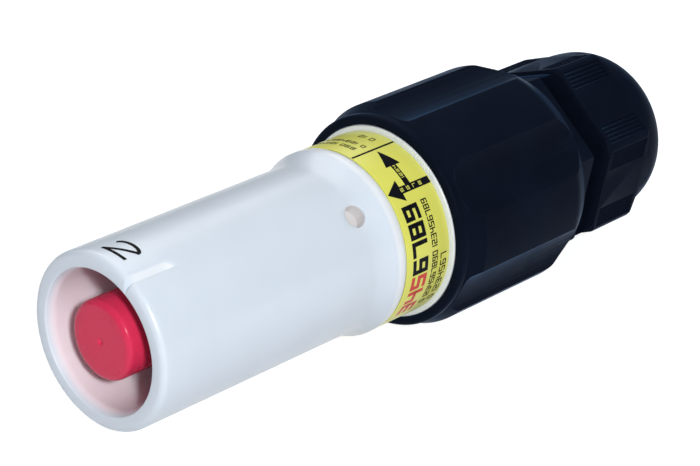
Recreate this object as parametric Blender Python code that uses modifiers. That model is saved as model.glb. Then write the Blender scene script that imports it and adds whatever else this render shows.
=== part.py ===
"""Single pole cam lock connector: white nose, red-tipped contact, fluted back shell and cable gland.

Metres, +Z up. The mating axis is world X, with the mouth at the low end. The connector lies on two
ribs of its back shell, and the origin is the centre of the bottom of its box.

Every piece is modelled in the axis frame: Z runs from the mouth's face towards the cable, and a clock
angle is counted from the top of the connector, clockwise as seen from the mouth.
"""

import math

import bmesh
import bpy
from mathutils import Matrix, Vector

# Fits
SEAT_GAP = 0.0003
THREAD_GAP = 0.0003
PASS = 0.002

# Nose of the shroud
BORE_RADIUS = 0.0192
NOSE_WALL = 0.0053
NOSE_LENGTH = 0.076
RIM_ROUND = 0.0019
LEAD_IN_DEPTH = 0.0025
LEAD_IN_RISE = 0.0008
BORE_PAST_NOSE = 0.008
WEB_THICKNESS = 0.012
FLARE_LENGTH = 0.0085
FLARE_RISE = 0.0022
LIP_WIDTH = 0.0032

# Index notch and release hole of the nose
NOTCH_CLOCK = math.radians(29.5)
NOTCH_WIDTH = 0.0032
NOTCH_LENGTH = 0.0155
NOTCH_DEPTH = 0.0016
NOTCH_RISE = 0.0012
NOTCH_ROLL = math.radians(25)
HOLE_CLOCK = math.radians(48.3)
HOLE_TO_WEB = 0.0079
HOLE_RADIUS = 0.00325

# Bayonet lugs in the bore
LUG_CLOCKS = (math.radians(45), math.radians(225))
LUG_STATION = 0.030
LUG_LENGTH = 0.008
LUG_WIDTH = 0.0075
LUG_HEIGHT = 0.0022

# Label seat, flange and rear sleeve of the shroud
LABEL_WIDTH = 0.0172
LABEL_THICKNESS = 0.0003
LABEL_SEAT_DROP = 0.0007
FLANGE_THICKNESS = 0.0046
SHELL_SEAL_DIAMETER = 0.0017
SLEEVE_WALL = 0.005
SLEEVE_LENGTH = 0.032
SLEEVE_CHAMFER = 0.001

# Contact
PIN_RADIUS = 0.0109
CAP_RADIUS = 0.011
CAP_STATION = 0.001
CAP_LENGTH = 0.019
CAP_FACE = 0.0035
CAP_ROUND = 0.0018
CAP_DIMPLE_RADIUS = 0.0013
CAP_DIMPLE_DEPTH = 0.0005
SPIGOT_RADIUS = 0.007
SHOULDER_STEP = 0.0025
SHOULDER_THICKNESS = 0.005
BARREL_RADIUS = 0.0135
BARREL_BORE_RADIUS = 0.00875
BARREL_LENGTH = 0.050
BARREL_BORE_DEPTH = 0.042
BARREL_CHAMFER = 0.0008
PIN_SEAL_DIAMETER = 0.0017
PIN_SEAL_SETBACK = 0.005
DRILL_POINT = 0.6
KEY_RADIUS = 0.0012
KEY_IN_WEB = 0.004
KEY_IN_SHOULDER = 0.0035
KEY_CLOCK = math.radians(180)
WASHER_THICKNESS = 0.0015
RING_THICKNESS = 0.0016
RING_DEPTH = 0.0013
RING_OPENING = 0.010
SCREW_RADIUS = 0.005
SCREW_LENGTH = 0.0049
SCREW_POINT = 0.0012
SCREW_SOCKET_RADIUS = 0.0023
SCREW_SOCKET_DEPTH = 0.0026
SCREW_SETBACKS = (0.028, 0.012)
GUARD_WALL = 0.0022
GUARD_FOOT_THICKNESS = 0.0028

# Back shell
COLLAR_FACE_STEP = 0.0002
FRONT_RING_WALL = 0.0011
FRONT_RING_ROUND = 0.0015
FRONT_RING_WIDTH = 0.0033
RIB_RISE = 0.0018
FRONT_CHAMFER_LENGTH = 0.0049
GRIP_LENGTH = 0.0414
TAIL_CONE_LENGTH = 0.0057
TAIL_CONE_DROP = 0.0031
TAIL_BAND_LENGTH = 0.0076
TAIL_BAND_DROP = 0.0015
TAIL_WALL = 0.0105
FLUTE_COUNT = 6
FLUTE_SPAN = math.radians(30)
FLUTE_WALL = 0.0012
FLUTE_SETBACK = 0.0002
FLUTE_DEPTH = 0.004
SHELL_TAPER = 0.006

# Cable gland
GLAND_WALL = 0.005
GLAND_THREAD_LENGTH = 0.0145
SEAL_FOOT = 0.0002
BODY_FLAT_WALL = 0.002
BODY_HEX_THICKNESS = 0.0062
BODY_HEX_CLOCK = math.radians(27.5)
BODY_CORNER_CUT = 0.0001
GLAND_SEAL_DIAMETER = 0.0017
NUT_THREAD_RADIUS = 0.022
NUT_THREAD_LENGTH = 0.0148
CLAW_SOCKET_WALL = 0.0035
CLAW_SEAT_WALL = 0.0008
CLAW_WALL = 0.0027
CLAW_LENGTH = 0.0225
CLAW_TAPER = 0.0016
CLAW_CONE_GAP = 0.00032
CLAW_SLOTS = 14
CLAW_SLOT_WIDTH = 0.0011
CLAW_RING_LENGTH = 0.006
SEAL_WALL = 0.0031
SEAL_LENGTH = 0.0205
REDUCER_WALL = 0.0027
REDUCER_LENGTH = 0.0195

# Dome nut
NUT_FLAT_WALL = 0.003
NUT_CORNER_CUT = 0.0004
NUT_CLOCK = math.radians(13.5)
NUT_FRONT_GAP = 0.001
NUT_CHAMFER = 0.0008
NUT_HEX_LENGTH = 0.0184
NUT_SHOULDER_LENGTH = 0.0015
NUT_BORE_PAST_BODY = 0.0012
NUT_DOME_PROUD = 0.0005
NUT_DOME_LENGTH = 0.014
NUT_DOME_DROP = 0.010
NUT_DOME_ANGLE = math.radians(75)
NUT_MOUTH_RADIUS = 0.0148
NUT_MOUTH_LENGTH = 0.004
RIBS_PER_SIDE = 5
RIB_PITCH = 0.0015
RIB_GROOVE_WIDTH = 0.0009
RIB_DEPTH = 0.0006
RIB_MARGIN = 0.0021
RIB_SETBACK = 0.0014

# Facets round the axis
ROUND_STEPS = 48
SMALL_STEPS = 28
SEAL_STEPS = 6
CUT_STEPS = 16
FLUTE_STEPS = 36

# Radii that follow from others, and stations along the axis, counted from the mouth's face
CLAW_RADIUS = NUT_THREAD_RADIUS - CLAW_SOCKET_WALL - SEAT_GAP
SEAL_RADIUS = CLAW_RADIUS - CLAW_WALL - SEAT_GAP
GLAND_BORE_RADIUS = SEAL_RADIUS - SEAL_FOOT
GLAND_THREAD_RADIUS = GLAND_BORE_RADIUS + GLAND_WALL
BODY_HEX_ACROSS = 2 * (NUT_THREAD_RADIUS + BODY_FLAT_WALL)
BODY_CORNER_RADIUS = BODY_HEX_ACROSS / math.sqrt(3) - BODY_CORNER_CUT
NUT_ACROSS = 2 * (NUT_THREAD_RADIUS + NUT_FLAT_WALL)
NUT_CORNER_RADIUS = NUT_ACROSS / math.sqrt(3) - NUT_CORNER_CUT
NUT_DOME_RADIUS = NUT_ACROSS / 2 + NUT_DOME_PROUD
SHOULDER_RADIUS = BARREL_RADIUS + SHOULDER_STEP
KEY_PITCH_RADIUS = (CAP_RADIUS + SHOULDER_RADIUS) / 2
NOSE_RADIUS = BORE_RADIUS + NOSE_WALL
BORE_DEPTH = NOSE_LENGTH + BORE_PAST_NOSE
HOLE_STATION = BORE_DEPTH - HOLE_TO_WEB
LIP_START = NOSE_LENGTH + FLARE_LENGTH
LIP_RADIUS = NOSE_RADIUS + FLARE_RISE
LABEL_START = LIP_START + LIP_WIDTH
LABEL_SEAT_RADIUS = LIP_RADIUS - LABEL_SEAT_DROP
SLEEVE_RADIUS = LABEL_SEAT_RADIUS
FLANGE_RADIUS = SLEEVE_RADIUS + SHELL_SEAL_DIAMETER + SEAT_GAP
FLANGE_START = LABEL_START + LABEL_WIDTH + 2 * SEAT_GAP
SLEEVE_START = FLANGE_START + FLANGE_THICKNESS
SLEEVE_END = SLEEVE_START + SLEEVE_LENGTH
WEB_END = BORE_DEPTH + WEB_THICKNESS
WEB_HOLE_RADIUS = CAP_RADIUS + SEAT_GAP
PIN_GROOVE_END = WEB_END - PIN_SEAL_SETBACK
PIN_GROOVE_START = PIN_GROOVE_END - PIN_SEAL_DIAMETER - 2 * SEAT_GAP
PIN_GROOVE_RADIUS = WEB_HOLE_RADIUS - PIN_SEAL_DIAMETER - 2 * SEAT_GAP
KEY_HOLE_RADIUS = KEY_RADIUS + SEAT_GAP
SHOULDER_START = WEB_END + SEAT_GAP
SHOULDER_END = SHOULDER_START + SHOULDER_THICKNESS
SHOULDER_BORE_RADIUS = SHOULDER_RADIUS + SEAT_GAP
WASHER_START = SHOULDER_END + SEAT_GAP
RING_START = WASHER_START + WASHER_THICKNESS + SEAT_GAP
RING_END = RING_START + RING_THICKNESS
RING_GROOVE_RADIUS = SHOULDER_BORE_RADIUS + RING_DEPTH
INNER_STEP = RING_END + 2 * SEAT_GAP + RING_DEPTH
SLEEVE_BORE_RADIUS = SLEEVE_RADIUS - SLEEVE_WALL
CAP_END = CAP_STATION + CAP_LENGTH
BARREL_END = SHOULDER_END + BARREL_LENGTH
SHELL_START = FLANGE_START + COLLAR_FACE_STEP
SHELL_BORE_RADIUS = SLEEVE_RADIUS + THREAD_GAP
FLANGE_BORE_RADIUS = FLANGE_RADIUS + SEAT_GAP
SHELL_STEP = SLEEVE_START + SHELL_SEAL_DIAMETER + 2 * SEAT_GAP
FRONT_RING_RADIUS = FLANGE_BORE_RADIUS + FRONT_RING_WALL + FRONT_RING_ROUND
GRIP_RADIUS = FRONT_RING_RADIUS + RIB_RISE
GRIP_START = SHELL_START + FRONT_RING_WIDTH + FRONT_CHAMFER_LENGTH
GRIP_END = GRIP_START + GRIP_LENGTH
TAIL_CONE_END = GRIP_END + TAIL_CONE_LENGTH
SHELL_END = TAIL_CONE_END + TAIL_BAND_LENGTH
SHELL_WALL_START = SHELL_END - TAIL_WALL
BODY_FLANGE_START = SHELL_END + SEAT_GAP
BODY_FLANGE_END = BODY_FLANGE_START + BODY_HEX_THICKNESS
BODY_START = SHELL_END - GLAND_THREAD_LENGTH
BODY_END = BODY_FLANGE_END + NUT_THREAD_LENGTH
CLAW_START = BODY_FLANGE_END + CLAW_SEAT_WALL + SEAT_GAP
CLAW_END = CLAW_START + CLAW_LENGTH
NUT_BORE_END = BODY_END + NUT_BORE_PAST_BODY
REDUCER_RADIUS = SEAL_RADIUS - SEAL_WALL - SEAT_GAP
NUT_START = BODY_FLANGE_END + NUT_FRONT_GAP
NUT_HEX_END = NUT_START + NUT_HEX_LENGTH
NUT_DOME_START = NUT_HEX_END + NUT_SHOULDER_LENGTH
NUT_END = NUT_DOME_START + NUT_DOME_LENGTH * math.sin(NUT_DOME_ANGLE)
GUARD_START = INNER_STEP + SEAT_GAP
GUARD_END = BODY_START - SEAT_GAP

# The two ribs beside the lowest flute carry the connector
FLUTE_EDGE = FLUTE_SPAN / 2
AXIS_HEIGHT = GRIP_RADIUS * math.cos(FLUTE_EDGE)
AXIS_FRAME = Matrix.Translation((-NUT_END / 2, 0, AXIS_HEIGHT)) @ Matrix.Rotation(math.pi / 2, 4, "Y")


def empty_scene():
    for obj in list(bpy.data.objects):
        bpy.data.objects.remove(obj, do_unlink=True)


def new_collection(name):
    collection = bpy.data.collections.new(name)
    bpy.context.scene.collection.children.link(collection)
    return collection


def material(name, colour, roughness, metallic=0.0):
    made = bpy.data.materials.new(name)
    made.use_nodes = True
    shader = made.node_tree.nodes["Principled BSDF"]
    shader.inputs["Base Color"].default_value = (*colour, 1)
    shader.inputs["Roughness"].default_value = roughness
    shader.inputs["Metallic"].default_value = metallic
    return made


def clock(angle):
    """Turns what is modelled at the top of the connector to a clock angle."""
    return Matrix.Rotation(angle, 4, "Z")


def at_top(radius, station):
    """The point at the top of the connector, at a radius and a station of the axis frame."""
    return Vector((-radius, 0, station))


def to_mesh(obj):
    """Replaces the object's modifiers by the mesh that they give."""
    graph = bpy.context.evaluated_depsgraph_get()
    mesh = bpy.data.meshes.new_from_object(obj.evaluated_get(graph))
    obj.modifiers.clear()
    obj.data = mesh


def shade(obj, finish):
    obj.data.shade_smooth()
    obj.data.set_sharp_from_angle(angle=math.radians(24))
    obj.data.materials.clear()
    obj.data.materials.append(finish)


def object_of(bm, name, collection, place=Matrix()):
    """An object of the bmesh, in the axis frame, with its faces pointing out."""
    bmesh.ops.transform(bm, matrix=place, verts=bm.verts)
    bmesh.ops.recalc_face_normals(bm, faces=bm.faces)
    mesh = bpy.data.meshes.new(name)
    bm.to_mesh(mesh)
    bm.free()
    obj = bpy.data.objects.new(name, mesh)
    collection.objects.link(obj)
    return obj


def face_out(mesh):
    bm = bmesh.new()
    bm.from_mesh(mesh)
    bmesh.ops.recalc_face_normals(bm, faces=bm.faces)
    bm.to_mesh(mesh)
    bm.free()


def turned(name, profile, collection, steps=ROUND_STEPS):
    """A solid turned from (station, radius) points: a closed outline, or one that ends on the axis."""
    bm = bmesh.new()
    corners = [bm.verts.new((radius, 0, station)) for station, radius in profile]
    for first, second in zip(corners, corners[1:], strict=False):
        bm.edges.new((first, second))
    if min(radius for _, radius in profile) > 0:
        bm.edges.new((corners[-1], corners[0]))
    mesh = bpy.data.meshes.new(name)
    bm.to_mesh(mesh)
    bm.free()
    obj = bpy.data.objects.new(name, mesh)
    collection.objects.link(obj)
    screw = obj.modifiers.new("turn", "SCREW")
    screw.axis = "Z"
    screw.angle = math.tau
    screw.steps = screw.render_steps = steps
    screw.use_merge_vertices = True
    screw.merge_threshold = 0.00001
    to_mesh(obj)
    face_out(obj.data)
    return obj


def arc(centre, radius, start, end, steps):
    """Points (station, radius) on an arc round a centre, by angles counted from the axis direction."""
    return [
        (
            centre[0] + radius * math.cos(start + (end - start) * i / steps),
            centre[1] + radius * math.sin(start + (end - start) * i / steps),
        )
        for i in range(steps + 1)
    ]


def prism(name, outlines, low, high, collection, place=Matrix()):
    """One or more outlines in the cross plane, drawn out between two stations."""
    bm = bmesh.new()
    faces = [bm.faces.new([bm.verts.new((x, y, low)) for x, y in outline]) for outline in outlines]
    drawn = bmesh.ops.extrude_face_region(bm, geom=faces)["geom"]
    top = [part for part in drawn if isinstance(part, bmesh.types.BMVert)]
    bmesh.ops.translate(bm, vec=(0, 0, high - low), verts=top)
    return object_of(bm, name, collection, place)


def rod(name, radius, low, high, collection, place=Matrix(), steps=CUT_STEPS):
    """A round bar along the local Z between two heights."""
    bm = bmesh.new()
    bmesh.ops.create_cone(
        bm, cap_ends=True, segments=steps, radius1=radius, radius2=radius, depth=high - low
    )
    bmesh.ops.translate(bm, vec=(0, 0, (low + high) / 2), verts=bm.verts)
    return object_of(bm, name, collection, place)


def block(name, size, collection, place=Matrix()):
    bm = bmesh.new()
    bmesh.ops.create_cube(bm, size=1)
    bmesh.ops.scale(bm, vec=size, verts=bm.verts)
    return object_of(bm, name, collection, place)


def combine(obj, tool, operation):
    """Cuts, joins or trims an object with a tool, which stays as a hidden helper."""
    boolean = obj.modifiers.new(tool.name, "BOOLEAN")
    boolean.operation = operation
    boolean.object = tool
    tool.hide_render = True
    tool.display_type = "WIRE"


def radial(station, angle):
    """Places a tool whose local Z points outwards, at a station and a clock angle."""
    outwards = Matrix.Rotation(-math.pi / 2, 4, "Y")
    return clock(angle) @ Matrix.Translation((0, 0, station)) @ outwards


def shroud_profile():
    rim = arc((RIM_ROUND, NOSE_RADIUS - RIM_ROUND), RIM_ROUND, math.pi, math.pi / 2, 4)
    flare = [
        (
            NOSE_LENGTH + FLARE_LENGTH * i / 3,
            NOSE_RADIUS + FLARE_RISE * (1 - math.cos(math.pi * i / 6)),
        )
        for i in range(4)
    ]
    lip = arc(
        (LIP_START + LIP_WIDTH - LABEL_SEAT_DROP, LABEL_SEAT_RADIUS),
        LABEL_SEAT_DROP,
        math.pi / 2,
        0,
        2,
    )
    outside = [
        *rim,
        *flare,
        *lip,
        (FLANGE_START, LABEL_SEAT_RADIUS),
        (FLANGE_START, FLANGE_RADIUS),
        (SLEEVE_START, FLANGE_RADIUS),
        (SLEEVE_START, SLEEVE_RADIUS),
        (SLEEVE_END - SLEEVE_CHAMFER, SLEEVE_RADIUS),
        (SLEEVE_END, SLEEVE_RADIUS - SLEEVE_CHAMFER),
    ]
    inside = [
        (SLEEVE_END, SLEEVE_BORE_RADIUS),
        (INNER_STEP, SLEEVE_BORE_RADIUS),
        (INNER_STEP, SHOULDER_BORE_RADIUS),
        (RING_END + SEAT_GAP, SHOULDER_BORE_RADIUS),
        (RING_END + SEAT_GAP, RING_GROOVE_RADIUS),
        (RING_START - SEAT_GAP, RING_GROOVE_RADIUS),
        (RING_START - SEAT_GAP, SHOULDER_BORE_RADIUS),
        (WEB_END, SHOULDER_BORE_RADIUS),
        (WEB_END, WEB_HOLE_RADIUS),
        (BORE_DEPTH, WEB_HOLE_RADIUS),
        (BORE_DEPTH, BORE_RADIUS),
        (LEAD_IN_DEPTH, BORE_RADIUS),
        (0, BORE_RADIUS + LEAD_IN_RISE),
    ]
    return outside + inside


def notch_outline():
    """The index notch seen from outside: parallel sides from the mouth and a round inner end."""
    half = NOTCH_WIDTH / 2
    end = arc((NOTCH_LENGTH - half, 0), half, -math.pi / 2, math.pi / 2, 8)
    return [(-PASS, -half), *end, (-PASS, half)]


def front_shroud(parts, tools, finish):
    obj = turned("front_shroud", shroud_profile(), parts)
    for i, angle in enumerate(LUG_CLOCKS):
        root = NOSE_WALL / 2
        middle = BORE_RADIUS + (root - LUG_HEIGHT) / 2
        size = (root + LUG_HEIGHT, LUG_WIDTH, LUG_LENGTH)
        place = clock(angle) @ Matrix.Translation(at_top(middle, LUG_STATION + LUG_LENGTH / 2))
        combine(obj, block(f"bayonet_lug_{i + 1}", size, tools, place), "UNION")
    slope = math.atan2(NOTCH_RISE, NOTCH_LENGTH)
    floor = Matrix.Translation((0, 0, NOSE_RADIUS - NOTCH_DEPTH)) @ Matrix.Rotation(-slope, 4, "Y")
    place = radial(0, NOTCH_CLOCK) @ floor @ Matrix.Rotation(NOTCH_ROLL, 4, "X")
    notch = prism("index_notch", [notch_outline()], 0, NOTCH_DEPTH + PASS, tools, place)
    combine(obj, notch, "DIFFERENCE")
    place = radial(HOLE_STATION, HOLE_CLOCK)
    hole = rod("release_hole", HOLE_RADIUS, BORE_RADIUS - PASS, NOSE_RADIUS + PASS, tools, place)
    combine(obj, hole, "DIFFERENCE")
    place = clock(KEY_CLOCK) @ Matrix.Translation(at_top(KEY_PITCH_RADIUS, 0))
    seat = rod("web_key_hole", KEY_HOLE_RADIUS, WEB_END - KEY_IN_WEB, WEB_END + PASS, tools, place)
    combine(obj, seat, "DIFFERENCE")
    shade(obj, finish)


def label_band(parts, tools, finish):
    low = LABEL_START + SEAT_GAP
    inner = LABEL_SEAT_RADIUS + SEAT_GAP
    outer = inner + LABEL_THICKNESS
    profile = [(low, outer), (low + LABEL_WIDTH, outer), (low + LABEL_WIDTH, inner), (low, inner)]
    shade(turned("label_band", profile, parts), finish)


def finger_safe_cap(parts, tools, finish):
    """A thimble over the contact's spigot, with a round nose and a small moulding dimple."""
    rounding = arc(
        (CAP_STATION + CAP_ROUND, CAP_RADIUS - CAP_ROUND), CAP_ROUND, math.pi, math.pi / 2, 4
    )
    profile = [
        (CAP_STATION + CAP_DIMPLE_DEPTH, 0),
        (CAP_STATION + CAP_DIMPLE_DEPTH, CAP_DIMPLE_RADIUS - CAP_DIMPLE_DEPTH),
        (CAP_STATION, CAP_DIMPLE_RADIUS),
        *rounding,
        (CAP_END, CAP_RADIUS),
        (CAP_END, SPIGOT_RADIUS + SEAT_GAP),
        (CAP_STATION + CAP_FACE, SPIGOT_RADIUS + SEAT_GAP),
        (CAP_STATION + CAP_FACE, 0),
    ]
    shade(turned("finger_safe_cap", profile, parts, SMALL_STEPS), finish)


def contact_profile():
    spigot = CAP_STATION + CAP_FACE + SEAT_GAP
    pin = CAP_END + SEAT_GAP
    floor = BARREL_END - BARREL_BORE_DEPTH
    return [
        (spigot, 0),
        (spigot, SPIGOT_RADIUS - BARREL_CHAMFER),
        (spigot + BARREL_CHAMFER, SPIGOT_RADIUS),
        (pin, SPIGOT_RADIUS),
        (pin, PIN_RADIUS),
        (PIN_GROOVE_START, PIN_RADIUS),
        (PIN_GROOVE_START, PIN_GROOVE_RADIUS),
        (PIN_GROOVE_END, PIN_GROOVE_RADIUS),
        (PIN_GROOVE_END, PIN_RADIUS),
        (SHOULDER_START, PIN_RADIUS),
        (SHOULDER_START, SHOULDER_RADIUS),
        (SHOULDER_END, SHOULDER_RADIUS),
        (SHOULDER_END, BARREL_RADIUS),
        (BARREL_END - BARREL_CHAMFER, BARREL_RADIUS),
        (BARREL_END, BARREL_RADIUS - BARREL_CHAMFER),
        (BARREL_END, BARREL_BORE_RADIUS + BARREL_CHAMFER),
        (BARREL_END - BARREL_CHAMFER, BARREL_BORE_RADIUS),
        (floor, BARREL_BORE_RADIUS),
        (floor - BARREL_BORE_RADIUS * DRILL_POINT, 0),
    ]


def contact_pin(parts, tools, finish):
    obj = turned("contact_pin", contact_profile(), parts, SMALL_STEPS)
    place = clock(KEY_CLOCK) @ Matrix.Translation(at_top(KEY_PITCH_RADIUS, 0))
    end = SHOULDER_START + KEY_IN_SHOULDER + SEAT_GAP
    seat = rod("shoulder_key_hole", KEY_HOLE_RADIUS, SHOULDER_START - PASS, end, tools, place)
    combine(obj, seat, "DIFFERENCE")
    for i, setback in enumerate(SCREW_SETBACKS):
        place = radial(BARREL_END - setback, 0)
        hole = rod(
            f"clamp_hole_{i + 1}",
            SCREW_RADIUS + THREAD_GAP,
            BARREL_BORE_RADIUS / 2,
            BARREL_RADIUS + PASS,
            tools,
            place,
        )
        combine(obj, hole, "DIFFERENCE")
    shade(obj, finish)


def seal_ring(name, centre, diameter, parts, finish, steps=ROUND_STEPS):
    section = arc(centre, diameter / 2, 0, math.tau, SEAL_STEPS)[:-1]
    shade(turned(name, section, parts, steps), finish)


def contact_o_ring(parts, tools, finish):
    radius = PIN_GROOVE_RADIUS + SEAT_GAP + PIN_SEAL_DIAMETER / 2
    centre = ((PIN_GROOVE_START + PIN_GROOVE_END) / 2, radius)
    seal_ring("contact_o_ring", centre, PIN_SEAL_DIAMETER, parts, finish, SMALL_STEPS)


def contact_key(parts, tools, finish):
    place = clock(KEY_CLOCK) @ Matrix.Translation(at_top(KEY_PITCH_RADIUS, 0))
    low = WEB_END - KEY_IN_WEB + SEAT_GAP
    shade(rod("contact_key", KEY_RADIUS, low, SHOULDER_START + KEY_IN_SHOULDER, parts, place), finish)


def thrust_washer(parts, tools, finish):
    low, high = WASHER_START, WASHER_START + WASHER_THICKNESS
    inner, outer = BARREL_RADIUS + SEAT_GAP, SHOULDER_RADIUS
    profile = [(low, outer), (high, outer), (high, inner), (low, inner)]
    shade(turned("thrust_washer", profile, parts, SMALL_STEPS), finish)


def retaining_ring(parts, tools, finish):
    """A snap ring sprung into the shroud's groove, open at the bottom."""
    inner, outer = SHOULDER_BORE_RADIUS - RING_DEPTH, RING_GROOVE_RADIUS - SEAT_GAP
    profile = [(RING_START, outer), (RING_END, outer), (RING_END, inner), (RING_START, inner)]
    obj = turned("retaining_ring", profile, parts, SMALL_STEPS)
    middle = at_top(-(inner + outer) / 2, (RING_START + RING_END) / 2)
    size = (outer, RING_OPENING, RING_THICKNESS + PASS)
    gap = block("ring_opening", size, tools, Matrix.Translation(middle))
    combine(obj, gap, "DIFFERENCE")
    shade(obj, finish)


def clamp_screws(parts, tools, finish):
    """Grub screws with a cone point and a six-sided socket, level with the barrel."""
    head = BARREL_RADIUS - SEAT_GAP
    for name, setback in zip(("clamp_screw_front", "clamp_screw_rear"), SCREW_SETBACKS, strict=True):
        profile = [
            (head - SCREW_LENGTH, 0),
            (head - SCREW_LENGTH, SCREW_RADIUS - SCREW_POINT),
            (head - SCREW_LENGTH + SCREW_POINT, SCREW_RADIUS),
            (head, SCREW_RADIUS),
            (head, 0),
        ]
        place = radial(BARREL_END - setback, 0)
        obj = turned(name, profile, parts, CUT_STEPS)
        obj.data.transform(place)
        low = head - SCREW_SOCKET_DEPTH
        socket = rod(name + "_socket", SCREW_SOCKET_RADIUS, low, head + PASS, tools, place, 6)
        combine(obj, socket, "DIFFERENCE")
        shade(obj, finish)


def contact_sleeve(parts, tools, finish):
    """A guard round the cable barrel, with a foot in the shroud and a window over each clamp screw."""
    inner = BARREL_RADIUS + SEAT_GAP
    outer = inner + GUARD_WALL
    foot = SLEEVE_BORE_RADIUS - SEAT_GAP
    foot_end = GUARD_START + GUARD_FOOT_THICKNESS
    profile = [
        (GUARD_START, foot),
        (foot_end, foot),
        (foot_end, outer),
        (GUARD_END, outer),
        (GUARD_END, inner),
        (GUARD_START, inner),
    ]
    obj = turned("contact_sleeve", profile, parts, SMALL_STEPS)
    for i, setback in enumerate(SCREW_SETBACKS):
        place = radial(BARREL_END - setback, 0)
        window = rod(
            f"screw_window_{i + 1}",
            SCREW_RADIUS + THREAD_GAP,
            BARREL_RADIUS - PASS,
            outer + PASS,
            tools,
            place,
        )
        combine(obj, window, "DIFFERENCE")
    shade(obj, finish)


def shroud_o_ring(parts, tools, finish):
    radius = SLEEVE_RADIUS + SEAT_GAP + SHELL_SEAL_DIAMETER / 2
    centre = (SLEEVE_START + SEAT_GAP + SHELL_SEAL_DIAMETER / 2, radius)
    seal_ring("shroud_o_ring", centre, SHELL_SEAL_DIAMETER, parts, finish)


def collar_profile():
    corner = arc(
        (SHELL_START + FRONT_RING_ROUND, FRONT_RING_RADIUS - FRONT_RING_ROUND),
        FRONT_RING_ROUND,
        math.pi,
        math.pi / 2,
        4,
    )
    outside = [
        *corner,
        (SHELL_START + FRONT_RING_WIDTH, FRONT_RING_RADIUS),
        (GRIP_START, GRIP_RADIUS),
        (GRIP_END, GRIP_RADIUS),
        (TAIL_CONE_END, GRIP_RADIUS - TAIL_CONE_DROP),
        (SHELL_END, GRIP_RADIUS - TAIL_CONE_DROP - TAIL_BAND_DROP),
    ]
    throat = GLAND_THREAD_RADIUS + THREAD_GAP
    inside = [
        (SHELL_END, throat),
        (SHELL_WALL_START, throat),
        (SHELL_WALL_START, (throat + SHELL_BORE_RADIUS) / 2),
        (SHELL_WALL_START - SHELL_TAPER, SHELL_BORE_RADIUS),
        (SHELL_STEP, SHELL_BORE_RADIUS),
        (SHELL_STEP, FLANGE_BORE_RADIUS),
        (SHELL_START, FLANGE_BORE_RADIUS),
    ]
    return outside + inside


def grip_collar(parts, tools, finish):
    """The back shell: oval flutes start behind its front ring and run out over the tail's cone."""
    obj = turned("grip_collar", collar_profile(), parts)
    centre = FLANGE_BORE_RADIUS + FLUTE_WALL + FLUTE_DEPTH
    edge_depth = centre - GRIP_RADIUS * math.cos(FLUTE_EDGE)
    stretch = GRIP_RADIUS * math.sin(FLUTE_EDGE) / math.sqrt(FLUTE_DEPTH**2 - edge_depth**2)
    low = SHELL_START + FRONT_RING_WIDTH + FLUTE_SETBACK
    for i in range(FLUTE_COUNT):
        turn = clock(math.tau * i / FLUTE_COUNT)
        place = turn @ Matrix.Translation(at_top(centre, 0)) @ Matrix.Diagonal((1, stretch, 1, 1))
        flute = rod(f"flute_{i + 1}", FLUTE_DEPTH, low, SHELL_END + PASS, tools, place, FLUTE_STEPS)
        combine(obj, flute, "DIFFERENCE")
    shade(obj, finish)


def hexagon(across, angle):
    """The corners of a hexagon with one corner at a clock angle, in the cross plane."""
    radius = across / math.sqrt(3)
    turns = [math.pi + angle + math.tau * i / 6 for i in range(6)]
    return [(radius * math.cos(turn), radius * math.sin(turn)) for turn in turns]


def body_profile():
    chamfer = NUT_CHAMFER
    groove_floor = BODY_FLANGE_START + GLAND_SEAL_DIAMETER + SEAT_GAP
    groove_radius = GLAND_THREAD_RADIUS + GLAND_SEAL_DIAMETER + 2 * SEAT_GAP
    socket = NUT_THREAD_RADIUS - CLAW_SOCKET_WALL
    return [
        (BODY_START, GLAND_THREAD_RADIUS - chamfer),
        (BODY_START + chamfer, GLAND_THREAD_RADIUS),
        (groove_floor, GLAND_THREAD_RADIUS),
        (groove_floor, groove_radius),
        (BODY_FLANGE_START, groove_radius),
        (BODY_FLANGE_START, BODY_CORNER_RADIUS - chamfer),
        (BODY_FLANGE_START + chamfer, BODY_CORNER_RADIUS),
        (BODY_FLANGE_END - chamfer, BODY_CORNER_RADIUS),
        (BODY_FLANGE_END, BODY_CORNER_RADIUS - chamfer),
        (BODY_FLANGE_END, NUT_THREAD_RADIUS),
        (BODY_END - chamfer, NUT_THREAD_RADIUS),
        (BODY_END, NUT_THREAD_RADIUS - chamfer),
        (BODY_END, socket),
        (BODY_FLANGE_END + CLAW_SEAT_WALL, socket),
        (BODY_FLANGE_END + CLAW_SEAT_WALL, GLAND_BORE_RADIUS),
        (BODY_START, GLAND_BORE_RADIUS),
    ]


def gland_body(parts, tools, finish):
    obj = turned("gland_body", body_profile(), parts)
    outline = hexagon(BODY_HEX_ACROSS, BODY_HEX_CLOCK)
    envelope = prism("body_hexagon", [outline], BODY_START - PASS, BODY_END + PASS, tools)
    combine(obj, envelope, "INTERSECT")
    shade(obj, finish)


def gland_o_ring(parts, tools, finish):
    radius = GLAND_THREAD_RADIUS + SEAT_GAP + GLAND_SEAL_DIAMETER / 2
    centre = (BODY_FLANGE_START + GLAND_SEAL_DIAMETER / 2, radius)
    seal_ring("gland_o_ring", centre, GLAND_SEAL_DIAMETER, parts, finish)


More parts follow.
